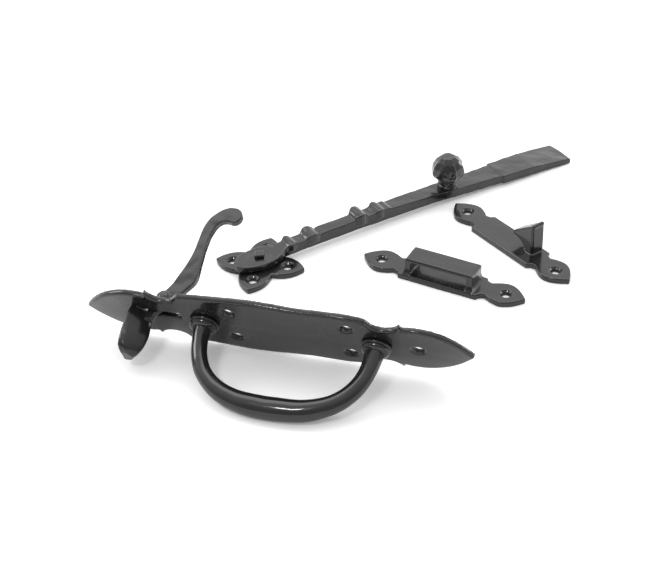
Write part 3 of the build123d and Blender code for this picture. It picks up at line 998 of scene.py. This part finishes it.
@dataclass
class KeeperUnits:
    """The staple that guides the bar and the keep that catches it."""

    voxel: float = 0.40

    def build(self) -> None:
        """Builds both castings."""
        for node, seed in (("staple", 8), ("keep", 9)):
            waves = Waviness(0.035, 12.0, seed)
            CastSkin(node, Body.FIXED, PLATE_COAT, waves, voxel=self.voxel).build()


# Stage


@dataclass(frozen=True)
class Softbox:
    """Rectangular soft lamp that looks at the middle of the set."""

    name: str
    place: tuple[float, float, float]
    size: tuple[float, float]
    power: float

    def build(self) -> None:
        """Puts the lamp into the scene."""
        data = bpy.data.lights.new(self.name, "AREA")
        data.shape = "RECTANGLE"
        data.size, data.size_y = self.size
        data.energy = self.power
        lamp = put(self.name, data)
        lamp.location = self.place
        lamp.rotation_mode = "QUATERNION"
        lamp.rotation_quaternion = (-Vector(self.place)).to_track_quat("-Z", "Y")


SOFTBOXES = (
    Softbox("rear_softbox", (0.05, 0.62, 1.45), (1.8, 1.0), 8.0),
    Softbox("left_softbox", (-1.25, 0.35, 0.85), (0.35, 0.7), 4.0),
    Softbox("right_softbox", (1.30, 0.32, 0.42), (0.24, 0.5), 2.8),
    Softbox("front_lamp", (-0.35, -0.66, 0.96), (0.2, 0.08), 2.6),
)


@dataclass
class Studio:
    """White table, large soft lamps and the camera."""

    camera_place: tuple[float, float, float] = (-0.012733, -0.593743, 0.43274)
    pitch: float = 37.05
    roll: float = -1.48
    lens: float = 68.92
    sensor: float = 36.0
    nearest: float = 0.01
    table_half: float = 4.0
    table_drop: float = 0.00008
    table_grey: float = 0.85
    table_white: float = 0.96
    table_lift: float = 0.18
    room_dim: float = 0.42
    room_bright: float = 1.2
    bright_side: tuple[float, float, float] = (0.0, 0.8, 0.6)
    fade: tuple[float, float] = (-0.5, 0.9)

    def build(self) -> None:
        """Builds the camera, the floor, the surroundings and the lamps."""
        self.camera()
        self.floor()
        self.surroundings()
        for lamp in SOFTBOXES:
            lamp.build()
        bpy.context.scene.view_settings.view_transform = "Standard"

    def camera(self) -> None:
        """Places the camera at the photograph's viewing angle."""
        tip = math.radians(self.pitch)
        lean = math.radians(self.roll)
        ahead = Vector((0, math.cos(tip), -math.sin(tip)))
        above = Vector((0, math.sin(tip), math.cos(tip)))
        right = Vector((1, 0, 0))
        side = right * math.cos(lean) + above * math.sin(lean)
        up = above * math.cos(lean) - right * math.sin(lean)
        turn = Matrix((side, up, -ahead)).transposed()
        data = bpy.data.cameras.new("camera")
        data.lens = self.lens
        data.sensor_width = self.sensor
        data.clip_start = self.nearest
        camera = put("camera", data)
        camera.matrix_world = Matrix.Translation(self.camera_place) @ turn.to_4x4()
        bpy.context.scene.camera = camera

    def floor(self) -> None:
        """Makes the white table top, whose white for the camera comes from Light Path."""
        reach = (-self.table_half, self.table_half)
        points = [(x, y, -self.table_drop) for y in reach for x in reach]
        mesh = bpy.data.meshes.new("table_top")
        mesh.from_pydata(points, [], [(0, 1, 3, 2)])
        put("table_top", mesh)
        made = bpy.data.materials.new("white_table")
        made.use_nodes = True
        tree = made.node_tree
        shader = tree.nodes["Principled BSDF"]
        shader.inputs["Roughness"].default_value = 0.6
        rays = tree.nodes.new("ShaderNodeLightPath")
        tint = tree.nodes.new("ShaderNodeMix")
        tint.data_type = "RGBA"
        tint.inputs["A"].default_value = (*[self.table_grey] * 3, 1.0)
        tint.inputs["B"].default_value = (*[self.table_white] * 3, 1.0)
        tree.links.new(rays.outputs["Is Camera Ray"], tint.inputs["Factor"])
        tree.links.new(tint.outputs["Result"], shader.inputs["Base Color"])
        glow = tree.nodes.new("ShaderNodeEmission")
        lift = add_math(tree, "MULTIPLY", rays.outputs["Is Camera Ray"], self.table_lift)
        tree.links.new(lift, glow.inputs["Strength"])
        both = tree.nodes.new("ShaderNodeAddShader")
        tree.links.new(shader.outputs["BSDF"], both.inputs[0])
        tree.links.new(glow.outputs["Emission"], both.inputs[1])
        tree.links.new(both.outputs["Shader"], tree.nodes["Material Output"].inputs["Surface"])
        mesh.materials.append(made)

    def surroundings(self) -> None:
        """Sets a white room that is bright behind the table and dim on the viewer's side.

        The strength goes from dim to bright with the direction's share along a line that
        points back and up, and is 1 where the camera looks at it.
        """
        world = bpy.data.worlds.new("white_room")
        world.use_nodes = True
        tree = world.node_tree
        rays = tree.nodes.new("ShaderNodeLightPath")
        toward = tree.nodes.new("ShaderNodeVectorMath")
        toward.operation = "DOT_PRODUCT"
        toward.inputs[1].default_value = self.bright_side
        tree.links.new(tree.nodes.new("ShaderNodeTexCoord").outputs["Generated"], toward.inputs[0])
        ramp = tree.nodes.new("ShaderNodeMapRange")
        ramp.interpolation_type = "SMOOTHSTEP"
        ramp.inputs["From Min"].default_value = self.fade[0]
        ramp.inputs["From Max"].default_value = self.fade[1]
        ramp.inputs["To Min"].default_value = self.room_dim
        ramp.inputs["To Max"].default_value = self.room_bright
        tree.links.new(toward.outputs["Value"], ramp.inputs["Value"])
        plain = tree.nodes.new("ShaderNodeMix")
        plain.inputs["B"].default_value = 1.0
        tree.links.new(rays.outputs["Is Camera Ray"], plain.inputs["Factor"])
        tree.links.new(ramp.outputs["Result"], plain.inputs["A"])
        shade = tree.nodes["Background"]
        shade.inputs["Color"].default_value = (1, 1, 1, 1)
        tree.links.new(plain.outputs["Result"], shade.inputs["Strength"])
        bpy.context.scene.world = world


def main() -> None:
    """Builds the stage and the dressed latch set."""
    logging.basicConfig(level=logging.INFO, format="%(message)s")
    coat_texture_group()
    coat_tone_group()
    Studio().build()
    HandleUnit().build()
    BarUnit().build()
    KeeperUnits().build()


if __name__ == "__main__":
    main()
